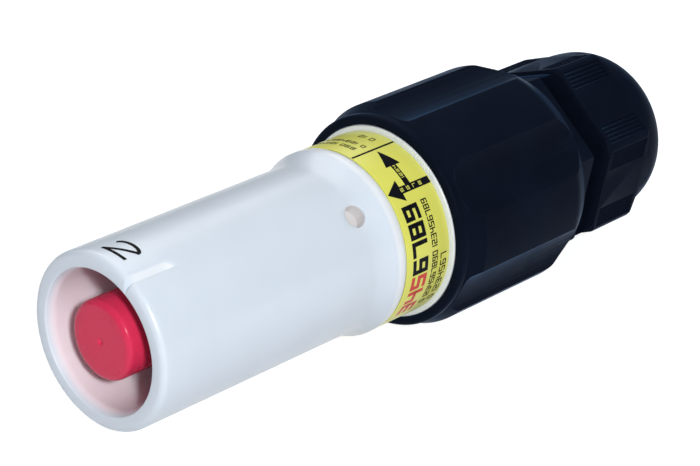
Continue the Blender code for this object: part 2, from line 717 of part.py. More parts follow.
def gland_claw(parts, tools, finish):
    """A ring with fingers that the dome nut's cone presses on to the seal."""
    inner = CLAW_RADIUS - CLAW_WALL
    profile = [
        (CLAW_START, CLAW_RADIUS),
        (NUT_BORE_END, CLAW_RADIUS),
        (CLAW_END, CLAW_RADIUS - CLAW_TAPER),
        (CLAW_END, inner),
        (CLAW_START, inner),
    ]
    obj = turned("gland_claw", profile, parts, CLAW_SLOTS * 2)
    low = CLAW_START + CLAW_RING_LENGTH
    size = (CLAW_WALL + 2 * PASS, CLAW_SLOT_WIDTH, CLAW_END + PASS - low)
    middle = Matrix.Translation(at_top(CLAW_RADIUS - CLAW_WALL / 2, low + size[2] / 2))
    for i in range(CLAW_SLOTS):
        slot = block(f"claw_slot_{i + 1}", size, tools, clock(math.tau * i / CLAW_SLOTS) @ middle)
        combine(obj, slot, "DIFFERENCE")
    shade(obj, finish)


def gland_rubber(name, outer, wall, length, parts, finish):
    low, high = CLAW_START, CLAW_START + length
    profile = [(low, outer), (high, outer), (high, outer - wall), (low, outer - wall)]
    shade(turned(name, profile, parts, SMALL_STEPS), finish)


def gland_seal(parts, tools, finish):
    gland_rubber("gland_seal", SEAL_RADIUS, SEAL_WALL, SEAL_LENGTH, parts, finish)


def gland_reducer(parts, tools, finish):
    gland_rubber("gland_reducer", REDUCER_RADIUS, REDUCER_WALL, REDUCER_LENGTH, parts, finish)


def nut_profile():
    dome = [
        (
            NUT_DOME_START + NUT_DOME_LENGTH * math.sin(NUT_DOME_ANGLE * i / 6),
            NUT_DOME_RADIUS - NUT_DOME_DROP * (1 - math.cos(NUT_DOME_ANGLE * i / 6)),
        )
        for i in range(7)
    ]
    bore = NUT_THREAD_RADIUS + THREAD_GAP
    return [
        (NUT_START, NUT_CORNER_RADIUS - NUT_CHAMFER),
        (NUT_START + NUT_CHAMFER, NUT_CORNER_RADIUS),
        (NUT_HEX_END, NUT_CORNER_RADIUS),
        *dome,
        (NUT_END, NUT_MOUTH_RADIUS),
        (NUT_END - NUT_MOUTH_LENGTH, NUT_MOUTH_RADIUS),
        (CLAW_END, CLAW_RADIUS - CLAW_TAPER + CLAW_CONE_GAP),
        (NUT_BORE_END, CLAW_RADIUS + CLAW_CONE_GAP),
        (NUT_BORE_END, bore),
        (NUT_START, bore),
    ]


def grip_grooves():
    """Three-cornered grooves in every side of the nut, next to both of its corners."""
    rise = SEAT_GAP
    half = RIB_GROOVE_WIDTH / 2 * (RIB_DEPTH + rise) / RIB_DEPTH
    first = NUT_ACROSS / 2 * math.tan(math.pi / 6) - RIB_MARGIN
    outlines = []
    for side in range(6):
        turn = math.pi + NUT_CLOCK + math.tau * (side + 0.5) / 6
        normal = Vector((math.cos(turn), math.sin(turn)))
        along = Vector((-normal.y, normal.x))
        for i in range(RIBS_PER_SIDE):
            for centre in (RIB_PITCH * i - first, first - RIB_PITCH * i):
                middle = normal * (NUT_ACROSS / 2) + along * centre
                outline = [normal * rise - along * half, normal * -RIB_DEPTH, normal * rise + along * half]
                outlines.append([tuple(middle + corner) for corner in outline])
    return outlines


def gland_nut(parts, tools, finish):
    obj = turned("gland_nut", nut_profile(), parts)
    outline = hexagon(NUT_ACROSS, NUT_CLOCK)
    envelope = prism("nut_hexagon", [outline], NUT_START - PASS, NUT_END + PASS, tools)
    combine(obj, envelope, "INTERSECT")
    low, high = NUT_START + RIB_SETBACK, NUT_HEX_END - RIB_SETBACK
    combine(obj, prism("grip_grooves", grip_grooves(), low, high, tools), "DIFFERENCE")
    shade(obj, finish)


def main():
    empty_scene()
    parts = new_collection("single_pole_cam_lock_connector")
    tools = new_collection("cutters")
    white_nylon = material("white_nylon", (0.80, 0.84, 0.90), 0.35)
    label_film = material("label_film", (0.76, 0.74, 0.18), 0.45)
    red_nylon = material("red_nylon", (0.80, 0.12, 0.18), 0.35)
    silver_plate = material("silver_plate", (0.80, 0.79, 0.76), 0.25, 1.0)
    spring_steel = material("spring_steel", (0.30, 0.30, 0.31), 0.40, 1.0)
    black_nylon = material("black_nylon", (0.012, 0.015, 0.025), 0.40)
    seal_rubber = material("seal_rubber", (0.03, 0.03, 0.03), 0.80)
    pieces = (
        (front_shroud, white_nylon),
        (label_band, label_film),
        (finger_safe_cap, red_nylon),
        (contact_pin, silver_plate),
        (contact_o_ring, seal_rubber),
        (contact_key, spring_steel),
        (thrust_washer, spring_steel),
        (retaining_ring, spring_steel),
        (clamp_screws, spring_steel),
        (contact_sleeve, black_nylon),
        (shroud_o_ring, seal_rubber),
        (grip_collar, black_nylon),
        (gland_body, black_nylon),
        (gland_o_ring, seal_rubber),
        (gland_claw, black_nylon),
        (gland_seal, seal_rubber),
        (gland_reducer, seal_rubber),
        (gland_nut, black_nylon),
    )
    for build, finish in pieces:
        build(parts, tools, finish)
    axis = bpy.data.objects.new("connector_axis", None)
    parts.objects.link(axis)
    axis.matrix_world = AXIS_FRAME
    for obj in [*parts.objects, *tools.objects]:
        if obj != axis:
            obj.parent = axis


main()
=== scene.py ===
"""Looks of a single pole cam lock connector: white nose, printed neck film, fluted back shell and gland."""

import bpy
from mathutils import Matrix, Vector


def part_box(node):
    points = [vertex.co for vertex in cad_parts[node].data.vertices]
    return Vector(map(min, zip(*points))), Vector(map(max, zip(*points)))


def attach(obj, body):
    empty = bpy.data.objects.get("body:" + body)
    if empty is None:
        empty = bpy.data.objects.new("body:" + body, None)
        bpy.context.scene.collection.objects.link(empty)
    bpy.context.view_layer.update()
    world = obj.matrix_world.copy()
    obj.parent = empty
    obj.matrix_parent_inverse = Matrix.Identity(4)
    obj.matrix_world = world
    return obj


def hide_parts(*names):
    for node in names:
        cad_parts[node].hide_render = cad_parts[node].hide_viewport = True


bl_info = {
    "name": "Single Pole Cam Lock Connector",
    "version": (1, 0, 0),
    "blender": (4, 5, 0),
    "location": "3D View > Sidebar > Connector",
    "description": "Models the fine pieces, finishes and stage of an in-line single pole connector",
    "category": "Object",
}

import math

import bpy
from bpy.props import FloatProperty, FloatVectorProperty, IntProperty, PointerProperty
from mathutils import Matrix, Vector

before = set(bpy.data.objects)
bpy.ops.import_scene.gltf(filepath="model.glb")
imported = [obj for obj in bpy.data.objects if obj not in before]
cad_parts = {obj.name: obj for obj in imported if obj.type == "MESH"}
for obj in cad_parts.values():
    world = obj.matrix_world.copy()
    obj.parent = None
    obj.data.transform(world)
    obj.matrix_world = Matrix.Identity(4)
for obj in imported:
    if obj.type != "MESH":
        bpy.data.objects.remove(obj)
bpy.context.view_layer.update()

NOSE_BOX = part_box("front_shroud")
SHELL_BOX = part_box("grip_collar")
BODY_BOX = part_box("gland_body")
NUT_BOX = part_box("gland_nut")
SEAL_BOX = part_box("gland_seal")
REDUCER_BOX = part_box("gland_reducer")
LABEL_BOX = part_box("label_band")
CAP_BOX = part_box("finger_safe_cap")
PIN_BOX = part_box("contact_pin")

# The mating axis: where the mouth is, how high the axis lies, and the way into the connector
MOUTH = NOSE_BOX[0][0]
AXIS_Z = (NOSE_BOX[0][2] + NOSE_BOX[1][2]) / 2
AHEAD = Vector((1, 0, 0))

# Facets round the axis
FINE = 192
PLAIN = 96
ROD_STEPS = 64

# Points nearer to each other than this are one
SAME_PLACE = 0.000005

# Inside of the nose: stations from the mouth, and radii
WEB_FRONT = 0.0840
WEB_BACK = 0.0960
WEB_HOLE = 0.0113
RECESS_BACK = 0.1069
RECESS_RADIUS = 0.0163
REAR_BORE = 0.021

# Where the nose's painted highlight, painted shade and painted reflection start, none and full: radii, and
# stations from the mouth
SKIN_DEPTH = (0.0244, 0.0241)
BORE_WALL = (0.0199, 0.0193)
NOTCH_START = (0.0008, 0.003)
HOLE_START = (0.060, 0.065)
LIP_START = (0.0840, 0.0850)

# Bayonet lugs in the bore, each with the station and radius of its middle
LUG_CLOCKS = (math.radians(45), math.radians(225))
LUG_SIZE = (0.008, 0.0075, 0.003)
LUG_STATION = 0.034
LUG_MIDDLE = 0.0185

# The film's large numerals: stations, degrees from one to the next, and stroke
LARGE_ROW = (0.0904, 0.0965)
LARGE_PITCH = 11.0
LARGE_STROKE = 0.0013

# How far ink stands proud of what it is printed on
MARK_PROUD = 0.00004
INK_PROUD = 0.00003
OVERPRINT_PROUD = 0.00006

# Photograph's view
CAMERA_PLACE = Vector((-0.3884 + MOUTH, -0.4475, 0.2872 + AXIS_Z))
CAMERA_VIEW = Vector((0.67193, 0.62348, -0.3997))
CAMERA_LENS = 133.2

# Lamps: one by the camera, and a wide one above
KEY_PLACE = (-0.67, -0.87, 0.57)
KEY_WIDTH = 0.1
TOP_PLACE = (0.25, 0.5, 0.95)
TOP_WIDTH = 0.9


def station(place):
    """The distance from the mouth of a place along X."""
    return place - MOUTH


def ends(box):
    """The stations of a box's two ends."""
    return station(box[0][0]), station(box[1][0])


def at(along, radius, clock):
    """A point by its station, radius and clock angle, clockwise from the top as seen from the mouth."""
    return Vector((MOUTH + along, -radius * math.sin(clock), AXIS_Z + radius * math.cos(clock)))


def outward(clock):
    """The direction away from the axis at a clock angle."""
    return at(0, 1, clock) - at(0, 0, 0)


def pick(obj):
    """Selects one piece alone and makes it the active one."""
    bpy.ops.object.select_all(action="DESELECT")
    obj.select_set(True)
    bpy.context.view_layer.objects.active = obj


def named(name):
    """The object that an operator has just added, with its place applied and its name set."""
    obj = bpy.context.object
    bpy.ops.object.transform_apply(location=True, rotation=True, scale=True)
    obj.name = obj.data.name = name
    return obj


def primitive(name, add, scale=(1, 1, 1), **settings):
    """A new shape on its own, by one of the operators that add one, with its place applied."""
    bpy.ops.object.select_all(action="DESELECT")
    add(**settings)
    bpy.context.object.scale = scale
    return named(name)


def filleted(*corners, steps=5):
    """Points of an outline whose (station, radius, rounding) corners become arcs, all in metres."""
    points = []
    for i, (along, radius, rounding) in enumerate(corners):
        corner = Vector((along, radius))
        if rounding == 0:
            points.append(tuple(corner))
            continue
        back = (Vector(corners[i - 1][:2]) - corner).normalized()
        ahead = (Vector(corners[(i + 1) % len(corners)][:2]) - corner).normalized()
        half = back.angle(ahead) / 2
        centre = corner + (back + ahead).normalized() * rounding / math.sin(half)
        first = corner + back * rounding / math.tan(half) - centre
        last = corner + ahead * rounding / math.tan(half) - centre
        for step in range(steps + 1):
            points.append(tuple(centre + first.slerp(last, step / steps) * rounding))
    return points


def turned(name, outline, steps=FINE, closed=True):
    """A piece round the axis: a circle extruded and resized from one (station, radius) to the next."""
    along, radius = outline[0]
    obj = primitive(
        name,
        bpy.ops.mesh.primitive_circle_add,
        vertices=steps,
        radius=radius,
        location=(MOUTH + along, 0, AXIS_Z),
        rotation=(0, math.pi / 2, 0),
    )
    bpy.ops.object.mode_set(mode="EDIT")
    bpy.ops.mesh.select_all(action="SELECT")
    if not closed:
        bpy.ops.mesh.edge_face_add()
    for next_along, next_radius in [*outline[1:], *(outline[:1] if closed else [])]:
        bpy.ops.mesh.extrude_edges_move(
            TRANSFORM_OT_translate={"value": (next_along - along, 0, 0)}
        )
        grown = next_radius / radius
        middle = (MOUTH + next_along, 0, AXIS_Z)
        bpy.ops.transform.resize(value=(1, grown, grown), center_override=middle)
        along, radius = next_along, next_radius
    if not closed:
        bpy.ops.mesh.edge_face_add()
    bpy.ops.mesh.select_all(action="SELECT")
    bpy.ops.mesh.remove_doubles(threshold=SAME_PLACE)
    bpy.ops.mesh.normals_make_consistent(inside=False)
    bpy.ops.object.mode_set(mode="OBJECT")
    return obj


def finish_by(obj, kind, **settings):
    """Adds a modifier with its settings and applies it."""
    step = obj.modifiers.new(kind, kind)
    for key, value in settings.items():
        setattr(step, key, value)
    pick(obj)
    bpy.ops.object.modifier_apply(modifier=step.name)


def combine(obj, tool, operation="DIFFERENCE"):
    """Cuts, joins or trims a piece with a tool, which is used up."""
    finish_by(obj, "BOOLEAN", operation=operation, object=tool)
    bpy.data.objects.remove(tool, do_unlink=True)


def soften(obj, width, degrees, segments=2):
    """Rounds every edge that turns by more than an angle."""
    limit = math.radians(degrees)
    finish_by(obj, "BEVEL", width=width, segments=segments, limit_method="ANGLE", angle_limit=limit)


def face_outwards():
    """Turns every face of the picked piece outwards."""
    bpy.ops.object.mode_set(mode="EDIT")
    bpy.ops.mesh.select_all(action="SELECT")
    bpy.ops.mesh.normals_make_consistent(inside=False)
    bpy.ops.object.mode_set(mode="OBJECT")


def smooth(obj, degrees):
    """Shades a piece smooth, except at edges that turn by more than an angle."""
    pick(obj)
    bpy.ops.object.shade_smooth_by_angle(angle=math.radians(degrees))


def joined(objs, name):
    """Several pieces made one."""
    pick(objs[0])
    for obj in objs:
        obj.select_set(True)
    bpy.ops.object.join()
    objs[0].name = objs[0].data.name = name
    return objs[0]


def rod(name, radius, length, middle, direction):
    """A round bar along a direction, used as a tool."""
    return primitive(
        name,
        bpy.ops.mesh.primitive_cylinder_add,
        vertices=ROD_STEPS,
        radius=radius,
        depth=length,
        location=middle,
        rotation=direction.to_track_quat("Z", "Y").to_euler(),
    )


def hand_in(obj, finish, slot, *nodes):
    """Gives a piece its finish, and sets it on the connector in place of what it stands for."""
    obj.data.materials.clear()
    obj.data.materials.append(bpy.data.materials[finish])
    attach(obj, "root")
    if nodes:
        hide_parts(*nodes)


class Nodes:
    """A material's node tree, built link by link."""

    def __init__(self, name):
        self.material = bpy.data.materials.new(name)
        self.material.use_nodes = True
        self.tree = self.material.node_tree
        self.shader = self.tree.nodes["Principled BSDF"]
        self.place = self.tree.nodes.new("ShaderNodeTexCoord").outputs["Object"]

    def add(self, kind, inputs=(), **settings):
        """A new node with its settings, and with its inputs linked or set."""
        node = self.tree.nodes.new(kind)
        for key, value in settings.items():
            setattr(node, key, value)
        for key, value in dict(inputs).items():
            self.feed(node.inputs[key], value)
        return node

    def feed(self, socket, value):
        """Links a socket to another node's output, or sets its value."""
        if isinstance(value, bpy.types.NodeSocket):
            self.tree.links.new(value, socket)
        else:
            socket.default_value = value

    def noise(self, scale, detail=3.0, stretch=(1, 1, 1)):
        """Noise on the piece's own coordinates, stretched along the axes."""
        mapped = self.add("ShaderNodeMapping", {"Vector": self.place, "Scale": stretch})
        inputs = {"Vector": mapped.outputs["Vector"], "Scale": scale, "Detail": detail}
        return self.add("ShaderNodeTexNoise", inputs).outputs["Fac"]

    def between(self, noise, low, high):
        """Noise, which hardly leaves 0.12 to 0.88, spread over another range."""
        inputs = {"Value": noise, "From Min": 0.12, "From Max": 0.88, "To Min": low, "To Max": high}
        return self.add("ShaderNodeMapRange", inputs, interpolation_type="SMOOTHSTEP").outputs["Result"]

    def uneven(self, scale, low, high):
        """A roughness that drifts between two values."""
        return self.between(self.noise(scale), low, high)

    def clouded(self, colour, scale, detail, darkest, lightest):
        """A colour in soft clouds, from a darker to a lighter shade of it."""
        clouds = self.between(self.noise(scale, detail), 0, 1)
        return self.blend(clouds, shaded(colour, darkest), shaded(colour, lightest))

    def step(self, value, limits):
        """Rises from 0 to 1 while a value goes from one limit to the other."""
        none, full = limits
        inputs = {"Value": value, "From Min": none, "From Max": full}
        return self.add("ShaderNodeMapRange", inputs).outputs["Result"]

    def reckon(self, operation, first, second):
        """Two values multiplied, or the larger of the two."""
        return self.add("ShaderNodeMath", {0: first, 1: second}, operation=operation).outputs["Value"]

    def blend(self, factor, first, second):
        """Mixes two colours: inputs 0, 6 and 7 and output 2 are the ones that a colour mix uses."""
        return self.add("ShaderNodeMix", {0: factor, 6: first, 7: second}, data_type="RGBA").outputs[2]

    def bump(self, height, distance, strength=1.0, normal=None):
        """A normal from a height, on top of another normal if one is given."""
        inputs = {"Height": height, "Distance": distance, "Strength": strength}
        if normal is not None:
            inputs["Normal"] = normal
        return self.add("ShaderNodeBump", inputs).outputs["Normal"]

    def set(self, **values):
        """Sets or links the shader's sockets, named with underscores for spaces."""
        for key, value in values.items():
            self.feed(self.shader.inputs[key.replace("_", " ")], value)


def shaded(colour, factor):
    """A lighter or darker shade of a colour, with its fourth number."""
    return (*[min(1.0, part * factor) for part in colour[:3]], 1.0)


def painted_light_by_place(make, colour, finishes):
    """Paler in the notch, on the lip and on the flange behind it as painted highlight, greyer in the
    release hole as painted shade, and warmer in the bore as painted light and a painted pink reflection of
    the red cap.
    """
    inputs = {"Vector": make.place, "Location": (0, 0, -AXIS_Z), "Scale": (0, 1, 1)}
    across = make.add("ShaderNodeMapping", inputs).outputs["Vector"]
    radius = make.add("ShaderNodeVectorMath", {0: across}, operation="LENGTH").outputs["Value"]
    along = make.add("ShaderNodeSeparateXYZ", {"Vector": make.place}).outputs["X"]
    notch, hole, lip = (
        make.step(along, [MOUTH + limit for limit in limits])
        for limits in (NOTCH_START, HOLE_START, LIP_START)
    )
    # Painted highlight on the notch, the lip and the flange, in the lip's paler colour
    pale = shaded(finishes.lip, 1)
    sunk = make.reckon("MULTIPLY", make.step(radius, SKIN_DEPTH), notch)
    # Painted highlight towards the mouth, painted shade from the release hole on
    painted_highlight_and_shade = make.blend(hole, pale, shaded(finishes.hole, 1))
    colour = make.blend(sunk, colour, painted_highlight_and_shade)
    # Painted highlight on the lip and on the flange behind it
    colour = make.blend(lip, colour, pale)
    # Painted light and a painted pink reflection of the red cap on the bore's wall
    return make.blend(make.step(radius, BORE_WALL), colour, shaded(finishes.bore, 1))


def moulded_white(finishes):
    """Cool white moulded nylon, warmer in the bore with painted light and a painted pink reflection of the
    red cap, paler with painted highlight on the notch, lip and flange, and greyer with painted shade in the
    release hole: faint clouds, flow lines and a satin skin.
    """
    make = Nodes("moulded_white")
    colour = make.clouded(finishes.white, 38, 4.0, 0.965, 1.02)
    colour = painted_light_by_place(make, colour, finishes)
    flow = make.noise(160, 2.0, (0.12, 1, 1))
    grain = make.noise(1500, 2.0)
    rough = make.uneven(90, 0.27, 0.37)
    normal = make.bump(flow, 0.00006, 0.35, make.bump(grain, 0.000006, 0.5))
    make.set(Base_Color=colour, Roughness=rough, Normal=normal)
    make.set(Coat_Weight=0.12, Coat_Roughness=0.15)
    make.set(Subsurface_Weight=0.35, Subsurface_Radius=(1.0, 0.9, 0.85), Subsurface_Scale=0.004)


def moulded_black(finishes):
    """Blue-black nylon with a fine spark-eroded grain and slightly rubbed patches."""
    make = Nodes("moulded_black")
    colour = make.clouded(finishes.black, 55, 4.0, 0.8, 1.25)
    grain = make.noise(2600, 3.0)
    dapple = make.noise(420, 2.0)
    rough = make.uneven(120, 0.36, 0.5)
    normal = make.bump(dapple, 0.00003, 0.5, make.bump(grain, 0.00002, 0.6))
    make.set(Base_Color=colour, Roughness=rough, Normal=normal)
    make.set(Specular_IOR_Level=0.01, Specular_Tint=(0.7, 0.85, 1.0, 1.0))
    make.set(Sheen_Weight=0.085, Sheen_Roughness=0.4, Sheen_Tint=(0.23, 0.5, 1.0, 1.0))


def painted_shade_black(finishes):
    """Smooth dark nylon of the gland's body, darkened below the shell's black as painted shade of the gap
    between the back shell and the dome nut.
    """
    make = Nodes("painted_shade_black")
    # Painted shade: the black at three tenths to three fifths of its strength
    colour = make.clouded(finishes.black, 80, 3.0, 0.3, 0.6)
    rough = make.uneven(150, 0.35, 0.5)
    make.set(Base_Color=colour, Roughness=rough, Normal=make.bump(make.noise(600, 2.0), 0.00001, 0.4))
    make.set(Specular_IOR_Level=0.0)
    make.set(Sheen_Weight=0.05, Sheen_Roughness=0.4, Sheen_Tint=(0.2, 0.45, 1.0, 1.0))


def moulded_red(finishes):
    """Glossy red nylon with a soft turned grain."""
    make = Nodes("moulded_red")
    colour = make.clouded(finishes.red, 120, 3.0, 0.93, 1.06)
    grain = make.noise(900, 3.0)
    rough = make.uneven(260, 0.2, 0.32)
    make.set(Base_Color=colour, Roughness=rough, Normal=make.bump(grain, 0.000012, 0.5))
    make.set(Specular_IOR_Level=0.1, Coat_Weight=0.15, Coat_Roughness=0.04)


def printed_film(name, colour, low, high, gloss):
    """Satin printed film or ink, with a slight unevenness."""
    make = Nodes(name)
    mixed = make.clouded(colour, 70, 3.0, 0.95, 1.04)
    rough = make.uneven(180, low, high)
    make.set(Base_Color=mixed, Roughness=rough, Normal=make.bump(make.noise(500, 2.0), 0.00001, 0.4))
    make.set(Specular_IOR_Level=gloss, Coat_Weight=gloss, Coat_Roughness=0.35)


def plated(finishes):
    """Silver plate: turned lines round the axis and faint tarnish."""
    make = Nodes("plated_silver")
    colour = make.clouded(finishes.silver, 90, 5.0, 0.8, 1.0)
    lines = make.noise(900, 2.0, (4, 0.05, 0.05))
    rough = make.uneven(300, 0.16, 0.34)
    make.set(Base_Color=colour, Roughness=rough, Metallic=1.0, Normal=make.bump(lines, 0.000008, 0.6))


def bare_steel(finishes):
    """Bright spring steel with a slight stain."""
    make = Nodes("bare_steel")
    colour = make.clouded(finishes.steel, 200, 4.0, 0.75, 1.1)
    rough = make.uneven(500, 0.3, 0.45)
    make.set(Base_Color=colour, Roughness=rough, Metallic=1.0)
    make.set(Normal=make.bump(make.noise(1500, 2.0), 0.00001, 0.5))


def soft_rubber(finishes):
    """Matt black rubber with a faint bloom."""
    make = Nodes("soft_rubber")
    colour = make.clouded(finishes.rubber, 150, 4.0, 0.8, 1.5)
    rough = make.uneven(400, 0.55, 0.75)
    make.set(Base_Color=colour, Roughness=rough, Normal=make.bump(make.noise(1300, 3.0), 0.00002, 0.6))


def length_property(name, description, default):
    return FloatProperty(name=name, description=description, default=default, unit="LENGTH")


def angle_property(name, description, degrees):
    default = math.radians(degrees)
    return FloatProperty(name=name, description=description, default=default, subtype="ANGLE")


def power_property(name, description, default):
    return FloatProperty(name=name, description=description, default=default, unit="POWER")


def colour_property(name, description, default):
    limits = {"size": 3, "min": 0, "max": 1}
    return FloatVectorProperty(
        name=name, description=description, default=default, subtype="COLOR", **limits
    )


class NoseSizes(bpy.types.PropertyGroup):
    bore: length_property("Bore radius", "Inner radius of the nose", 0.0192)
    radius: length_property("Nose radius", "Outer radius of the nose", 0.0245)
    length: length_property("Straight length", "From the mouth to the start of the flare", 0.076)
    flare: length_property("Flare radius", "Radius of the lip in front of the label", 0.0267)
    rim_round: length_property("Rim rounding", "Outer rounding of the mouth", 0.0019)
    notch_width: length_property("Notch width", "Width of the index notch", 0.0032)
    notch_length: length_property("Notch length", "From the mouth to the notch's inner end", 0.0155)
    notch_depth: length_property("Notch depth", "Depth of the index notch's deep side at the mouth", 0.0052)
    notch_clock: angle_property("Notch angle", "Clock angle of the index notch", 29.5)
    hole_radius: length_property("Hole radius", "Radius of the release hole", 0.00325)
    hole_station: length_property("Hole station", "From the mouth to the release hole", 0.0761)
    hole_clock: angle_property("Hole angle", "Clock angle of the release hole", 48.3)


class ShellSizes(bpy.types.PropertyGroup):
    rib_radius: length_property("Rib radius", "Outer radius of the back shell over its ribs", 0.0327)
    ring_radius: length_property("Front ring radius", "Outer radius of the plain ring at the front", 0.0309)
    flutes: IntProperty(name="Flutes", description="Hollow flutes round the back shell", default=6, min=3)
    flute_floor: length_property("Flute floor", "Radius of the floor of a flute", 0.0295)
    flute_depth: length_property("Flute roundness", "Half the height of a flute's oval", 0.004)
    tail_across: length_property("Tail across flats", "Width of the shell's rear hexagon", 0.049)
    edge: length_property("Edge rounding", "Rounding of the flutes' edges", 0.00035)


class GlandSizes(bpy.types.PropertyGroup):
    body_across: length_property("Body across flats", "Width of the body's hexagon", 0.048)
    nut_across: length_property("Nut across flats", "Width of the dome nut's hexagon", 0.050)
    nut_clock: angle_property("Nut angle", "Clock angle of one corner of the dome nut", 12.5)
    ribs: IntProperty(name="Grip grooves", description="Grooves on each side of a corner", default=5, min=1)
    rib_pitch: length_property("Groove pitch", "From one grip groove to the next", 0.0013)
    rib_depth: length_property("Groove depth", "Depth of a grip groove", 0.0006)
    mouth: length_property("Mouth radius", "Radius of the hole that the cable goes in by", 0.0148)


class Finishes(bpy.types.PropertyGroup):
    white: colour_property("White", "Nylon of the nose", (0.66, 0.73, 0.81))
    # Painted light and a painted pink reflection of the red cap, laid on the bore's wall
    bore: colour_property("Bore", "Nylon of the nose's bore", (0.83, 0.75, 0.80))
    # Painted highlight, laid on the lip, the flange and the notch
    lip: colour_property("Lip", "Nylon of the nose's lip, flange and notch", (0.79, 0.83, 0.87))
    # Painted shade, laid in the release hole
    hole: colour_property("Hole", "Inside of the release hole", (0.62, 0.60, 0.60))
    yellow: colour_property("Yellow", "Film round the neck", (0.70, 0.70, 0.12))
    red: colour_property("Red", "Nylon of the contact's cap", (0.66, 0.03, 0.09))
    black: colour_property("Black", "Nylon of the back shell and gland", (0.004, 0.006, 0.013))
    ink: colour_property("Ink", "Dark print on the film", (0.006, 0.007, 0.010))
    red_ink: colour_property("Red ink", "Red print on the film", (0.62, 0.06, 0.05))
    silver: colour_property("Silver", "Plating of the contact", (0.80, 0.79, 0.76))
    steel: colour_property("Steel", "Rings and screws inside", (0.32, 0.32, 0.33))
    rubber: colour_property("Rubber", "Seals", (0.02, 0.02, 0.022))


class StageSettings(bpy.types.PropertyGroup):
    floor: colour_property("Floor", "Colour of the floor", (0.52, 0.53, 0.55))
    glow: FloatProperty(name="Floor glow", description="Strength of the floor as it is seen", default=0.8)
    key: power_property("Key light", "Power of the lamp by the camera", 12.3)
    fill: power_property("Top light", "Power of the lamp above", 5.5)
    world: FloatProperty(name="Sky", description="Strength of the sky", default=0.19)


def hexagon_bar(name, across, low, high, clock):
    """A hexagonal bar along the axis with one corner at a clock angle."""
    middle = at((low + high) / 2, 0, 0)
    corner = across / math.sqrt(3)
    bar = primitive(
        name,
        bpy.ops.mesh.primitive_cylinder_add,
        vertices=6,
        radius=corner,
        depth=high - low,
        location=middle,
        rotation=(0, math.pi / 2, 0),
    )
    first = bar.data.vertices[0].co - middle
    turn = clock - math.atan2(-first.y, first.z)
    for vertex in bar.data.vertices:
        angle = math.atan2(-vertex.co.y, vertex.co.z - AXIS_Z) + turn
        vertex.co = at(station(vertex.co.x), corner, angle)
    return bar


def wrap(obj, radius):
    """Bends a flat piece round the axis: X is its station and Y the way round at that radius."""
    for vertex in obj.data.vertices:
        along, way, height = vertex.co
        vertex.co = at(along, radius + height, way / radius)


def patch(name, stations, clocks, radius):
    """A flat strip between two stations and two clock angles."""
    low, high = stations
    start, end = (math.radians(clock) * radius for clock in clocks)
    cuts = max(1, math.ceil(abs(clocks[1] - clocks[0]) / 2))
    return primitive(
        name,
        bpy.ops.mesh.primitive_grid_add,
        scale=(high - low, end - start, 1),
        x_subdivisions=1,
        y_subdivisions=cuts,
        size=1,
        location=((low + high) / 2, (start + end) / 2, 0),
    )


def drawn(name, outline, radius):
    """A flat shape from (station, clock) corners in metres and degrees, cut finely enough to bend."""
    spacing = 2.0
    curve = bpy.data.curves.new(name, "CURVE")
    curve.dimensions = "2D"
    curve.fill_mode = "BOTH"
    spline = curve.splines.new("POLY")
    spline.points.add(len(outline) - 1)
    for point, (along, clock) in zip(spline.points, outline, strict=True):
        point.co = (along, math.radians(clock) * radius, 0, 1)
    spline.use_cyclic_u = True
    obj = bpy.data.objects.new(name, curve)
    bpy.context.scene.collection.objects.link(obj)
    pick(obj)
    bpy.ops.object.convert(target="MESH")
    obj = bpy.context.object
    clocks = [clock for _, clock in outline]
    bpy.ops.object.mode_set(mode="EDIT")
    clock = math.floor(min(clocks)) + spacing
    while clock < max(clocks):
        bpy.ops.mesh.select_all(action="SELECT")
        bpy.ops.mesh.bisect(plane_co=(0, math.radians(clock) * radius, 0), plane_no=(0, 1, 0))
        clock += spacing
    bpy.ops.object.mode_set(mode="OBJECT")
    return named(name)


def laid(objs, name, radius, proud):
    """Joins flat marks into one piece, bends it on to its surface, half sunk and half proud of it."""
    piece = joined(objs, name)
    wrap(piece, radius)
    finish_by(piece, "SOLIDIFY", thickness=2 * proud, offset=0)
    face_outwards()
    return piece


# Strokes of the plain numerals: two ends each, on a field of 1 by 2
STROKES = {
    "top": ((0, 2), (1, 2)),
    "middle": ((0, 1), (1, 1)),
    "bottom": ((0, 0), (1, 0)),
    "upper left": ((0, 1), (0, 2)),
    "lower left": ((0, 0), (0, 1)),
    "upper right": ((1, 1), (1, 2)),
    "lower right": ((1, 0), (1, 1)),
}
NUMERAL_WIDTH = 0.62  # Share of the way from one numeral to the next
NUMERALS = {
    "0": ("top", "bottom", "upper left", "lower left", "upper right", "lower right"),
    "1": ("upper right", "lower right"),
    "2": ("top", "upper right", "middle", "lower left", "bottom"),
    "3": ("top", "upper right", "middle", "lower right", "bottom"),
    "4": ("upper left", "middle", "upper right", "lower right"),
    "5": ("top", "upper left", "middle", "lower right", "bottom"),
    "6": ("top", "upper left", "middle", "lower left", "lower right", "bottom"),
    "7": ("top", "upper right", "lower right"),
    "8": tuple(STROKES),
    "9": ("top", "upper left", "middle", "upper right", "lower right", "bottom"),
}


def numerals(text, stations, first, pitch, stroke, radius):
    """Plain numerals one after the other from a clock angle, with their tops towards the mouth."""
    top, foot = stations
    half = stroke / 2
    marks = []
    for i, numeral in enumerate(text):
        left = math.radians(first - pitch * i) * radius
        width = math.radians(pitch) * radius * NUMERAL_WIDTH
        for name in NUMERALS.get(numeral, ()):
            corners = [
                (foot - (foot - top - stroke) * up / 2 - half, left - width * across)
                for across, up in STROKES[name]
            ]
            alongs, ways = zip(*corners, strict=True)
            low, high = min(alongs) - half, max(alongs) + half
            clocks = [math.degrees(way / radius) for way in (min(ways) - half, max(ways) + half)]
            marks.append(patch(f"numeral_{i}", (low, high), clocks, radius))
    return marks


def arrow(tip, barb, tail, middle, wings, stem):
    """Corners of an arrow: its places along its way first, then those across."""
    (left, right), (inner_left, inner_right) = wings, stem
    head = [(tip, middle), (barb, left), (barb, inner_left)]
    return [*head, (tail, inner_left), (tail, inner_right), (barb, inner_right), (barb, right)]


